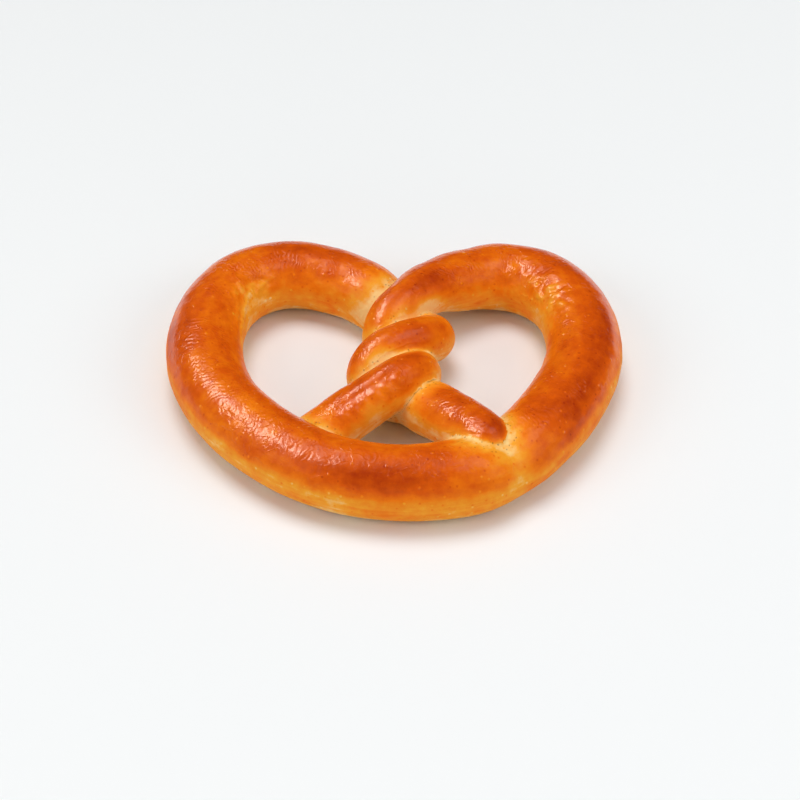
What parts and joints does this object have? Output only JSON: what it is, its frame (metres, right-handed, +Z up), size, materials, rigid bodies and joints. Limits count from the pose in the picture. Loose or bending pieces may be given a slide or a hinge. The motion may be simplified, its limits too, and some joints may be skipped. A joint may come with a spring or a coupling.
{
  "type": "soft pretzel",
  "caption": "Soft pretzel: a glossy baked rope of dough looped into two lobes, twisted in the middle, with its ends brought back onto the belly; a snack eaten by hand.",
  "frame": {"origin": "middle of the flat underside's plane, under the centre of the bounding box", "axes": "+X across both lobes, to the right as seen from the belly with the twist's top side up; +Y from the belly towards the cleft between the lobes; +Z up, away from the flat underside"},
  "size_m": [0.1618, 0.1382, 0.0271],
  "materials": {
    "crust": "semi-gloss baked crust, brown on the ridges and golden to cream in the creases and low on the flanks"
  },
  "bodies": {
    "root": {"pretzel": "crust"}
  },
  "joints": []
}
